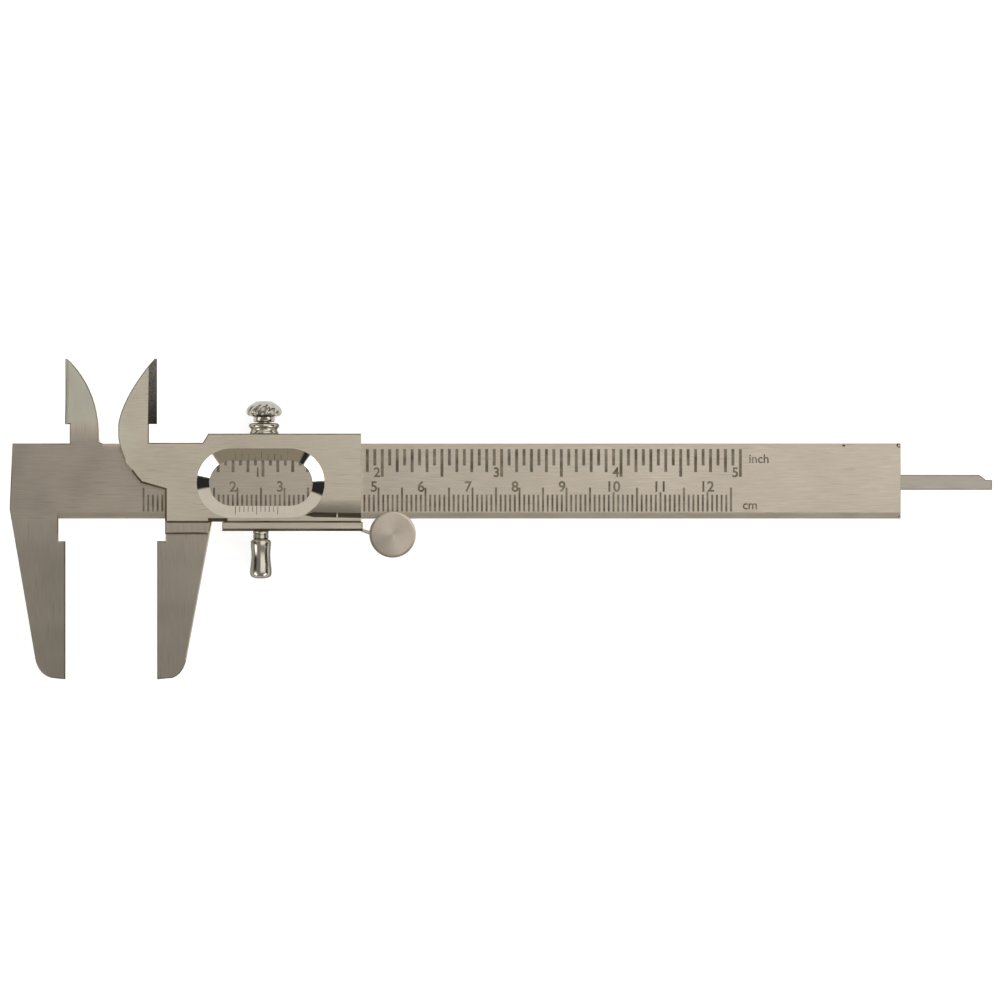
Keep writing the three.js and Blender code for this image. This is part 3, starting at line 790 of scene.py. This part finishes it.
def inch_marks():
    """One mark for each sixteenth of an inch."""
    marks = []
    head = SCALE["inch_head_y"]
    for count in range(SCALE["inch_marks"] + 1):
        if count % 8 == 0:
            length = SCALE["inch_long"]
        elif count % 2 == 0:
            length = SCALE["inch_middle"]
        else:
            length = SCALE["inch_short"]
        marks.append([SCALE["zero_x"] + count * SCALE["inch_pitch"], head - length, head])
    beam_marks("inch_scale", marks, SCALE["inch_width"])


def lettering(name, words, height, weight):
    """Numerals or unit names on the beam from (text, x, y) rows, as one mesh."""
    bm = bmesh.new()
    for text, x, y in words:
        curve = bpy.data.curves.new(name, "FONT")
        curve.body = text
        curve.size = height / CAPITAL_SHARE * MM
        curve.align_x = "CENTER"
        curve.align_y = "CENTER"
        curve.extrude = INK_DEPTH * MM
        curve.offset = weight * MM
        curve.resolution_u = 6
        holder = bpy.data.objects.new(name, curve)
        bpy.context.scene.collection.objects.link(holder)
        shown = holder.evaluated_get(bpy.context.evaluated_depsgraph_get())
        mesh = bpy.data.meshes.new_from_object(shown)
        mesh.transform(Matrix.Translation(on_beam(x, y, INK_RISE - INK_DEPTH)))
        bm.from_mesh(mesh)
        bpy.data.objects.remove(holder)
        bpy.data.meshes.remove(mesh)
        bpy.data.curves.remove(curve)
    placed_piece(name, bm, [ink], "beam")


def metric_numerals():
    """Numerals beside their marks, except those of two digits, which stand over them."""
    words = []
    for number in range(1, 13):
        back = 0.95 if number < 10 else 0.1
        words.append((str(number), SCALE["zero_x"] + number * 10 - back, -1.3))
    lettering("metric_numerals", words, NUMERAL_HEIGHT, 0.06)


def inch_numerals():
    words = [(str(n), SCALE["zero_x"] + n * INCH - 1.1, 1.75) for n in range(6)]
    lettering("inch_numerals", words, NUMERAL_HEIGHT * 0.92, 0.06)


def unit_names():
    lettering("unit_names", [("inch", 147.65, 4.65), ("cm", 145.75, -5.2)], LABEL_HEIGHT, 0.04)


def vernier_marks(name, upper, divisions, pitch, long_every):
    """Fine marks on the window's sloping bevel, above or below the opening."""
    sign = 1 if upper else -1
    slope = Vector((0, sign * WINDOW["bevel"], WINDOW["drop"])).normalized()
    rise = Vector((0, -sign * WINDOW["drop"], WINDOW["bevel"])).normalized()
    foot = on_slider(0, WINDOW["y"] + sign * WINDOW["inner"], -WINDOW["drop"])
    bm = bmesh.new()
    for count in range(divisions + 1):
        length = 2.2 if count % long_every == 0 else 1.5
        centre_x = SCALE["zero_x"] + count * pitch
        corners = []
        for lift in (-INK_DEPTH, INK_RISE):
            for x, along in ((-0.07, 0.1), (0.07, 0.1), (0.07, length), (-0.07, length)):
                point = foot + (slope * along + rise * lift) * MM
                corners.append((point.x + (centre_x + x) * MM, point.y, point.z))
        add_block(bm, corners)
    bmesh.ops.recalc_face_normals(bm, faces=bm.faces)
    placed_piece(name, bm, [ink], "slider")


metric_marks()
inch_marks()
metric_numerals()
inch_numerals()
unit_names()
vernier_marks("metric_vernier", False, 10, 0.9, 5)
vernier_marks("inch_vernier", True, 8, INCH * 7 / 16 / 8, 4)

# ---- Floor, light and camera ----------------------------------------------------------------


def floor():
    bm = bmesh.new()
    bmesh.ops.create_grid(bm, x_segments=1, y_segments=1, size=6.0)
    bmesh.ops.translate(bm, vec=(0, 0, -0.05 * MM), verts=bm.verts)
    material, tree, shader = node_material("pale_floor")
    shader.inputs["Base Color"].default_value = (0.55, 0.55, 0.55, 1.0)
    shader.inputs["Roughness"].default_value = 1.0
    shader.inputs["Emission Color"].default_value = (1.0, 1.0, 1.0, 1.0)
    shader.inputs["Emission Strength"].default_value = 0.8
    mesh = bpy.data.meshes.new("floor")
    bm.to_mesh(mesh)
    bm.free()
    mesh.materials.append(material)
    ground = bpy.data.objects.new("floor", mesh)
    bpy.context.scene.collection.objects.link(ground)


def colour_ramp(tree, value, stops):
    ramp = tree.nodes.new("ShaderNodeValToRGB")
    elements = ramp.color_ramp.elements
    while len(elements) < len(stops):
        elements.new(0.5)
    for element, (position, colour) in zip(elements, stops):
        element.position = position
        element.color = (*colour, 1.0)
    tree.links.new(value, ramp.inputs["Fac"])
    return ramp.outputs["Color"]


def bearing(degrees):
    """Where a compass bearing, counted from +X towards +Y, falls on the ring's ramp."""
    return degrees / 360 + 0.5


def studio():
    """Soft boxes stand at both near sides, over a dark belt, with a pale wall behind."""
    world = bpy.data.worlds.new("studio")
    bpy.context.scene.world = world
    world.use_nodes = True
    tree = world.node_tree
    place = tree.nodes.new("ShaderNodeTexCoord")
    split = tree.nodes.new("ShaderNodeSeparateXYZ")
    tree.links.new(place.outputs["Generated"], split.inputs["Vector"])
    turn = tree.nodes.new("ShaderNodeMath")
    turn.operation = "ARCTAN2"
    tree.links.new(split.outputs["Y"], turn.inputs[0])
    tree.links.new(split.outputs["X"], turn.inputs[1])
    share = tree.nodes.new("ShaderNodeMapRange")
    share.inputs["From Min"].default_value = -math.pi
    share.inputs["From Max"].default_value = math.pi
    tree.links.new(turn.outputs["Value"], share.inputs["Value"])

    black, box, wall, shade = (0.01, 0.01, 0.01), (1.0, 0.99, 0.96), (0.26, 0.24, 0.21), (0.11, 0.095, 0.07)
    edge = 1.5
    walls = [
        (-180, black), (-176 - edge, black), (-176 + edge, box), (-129 - edge, box), (-129 + edge, black),
        (-117 - edge, black), (-117 + edge, shade), (-58 - edge, shade), (-58 + edge, box), (-14 - edge, box),
        (-14 + edge, black), (12 - edge, black), (12 + edge, wall), (159 - edge, wall), (159 + edge, black),
        (180, black),
    ]
    ring = colour_ramp(tree, share.outputs["Result"], [(bearing(a), c) for a, c in walls])
    ceiling, belt, horizon = (0.1, 0.096, 0.09), (0.025, 0.023, 0.018), (0.5, 0.5, 0.5)
    height = split.outputs["Z"]
    foot = mixed(tree, ranged(tree, height, 0.0, 1.0, 0.03, 0.08), horizon, belt)
    middle = mixed(tree, ranged(tree, height, 0.0, 1.0, 0.27, 0.35), foot, ring)
    sky = mixed(tree, ranged(tree, height, 0.0, 1.0, 0.6, 0.75), middle, ceiling)
    background = tree.nodes["Background"]
    tree.links.new(sky, background.inputs["Color"])
    background.inputs["Strength"].default_value = 2.2


def soft_box(name, place, target, width, depth, power, tint=(1.0, 0.97, 0.92)):
    lamp = bpy.data.lights.new(name, "AREA")
    lamp.shape = "RECTANGLE"
    lamp.size = width
    lamp.size_y = depth
    lamp.energy = power
    lamp.color = tint
    holder = bpy.data.objects.new(name, lamp)
    holder.location = place
    holder.rotation_euler = (Vector(target) - Vector(place)).to_track_quat("-Z", "Y").to_euler()
    bpy.context.scene.collection.objects.link(holder)


def camera():
    """Straight above the beam's top face, with a long lens, framed as in the photograph."""
    data = bpy.data.cameras.new("camera")
    data.sensor_width = SENSOR_WIDTH
    data.lens = SENSOR_WIDTH * CAMERA_HEIGHT / (VIEW_WIDTH * MM)
    data.clip_start = 0.01
    data.clip_end = 50.0
    holder = bpy.data.objects.new("camera", data)
    holder.location = on_beam(92.55, -4.04) + Vector((0, 0, CAMERA_HEIGHT))
    bpy.context.scene.collection.objects.link(holder)
    bpy.context.scene.camera = holder


floor()
studio()
soft_box("overhead", (0.22, 0.23, 0.45), (0.22, 0.23, 0.0), 0.56, 0.54, 0.76)
camera()
bpy.context.scene.view_settings.view_transform = "Standard"
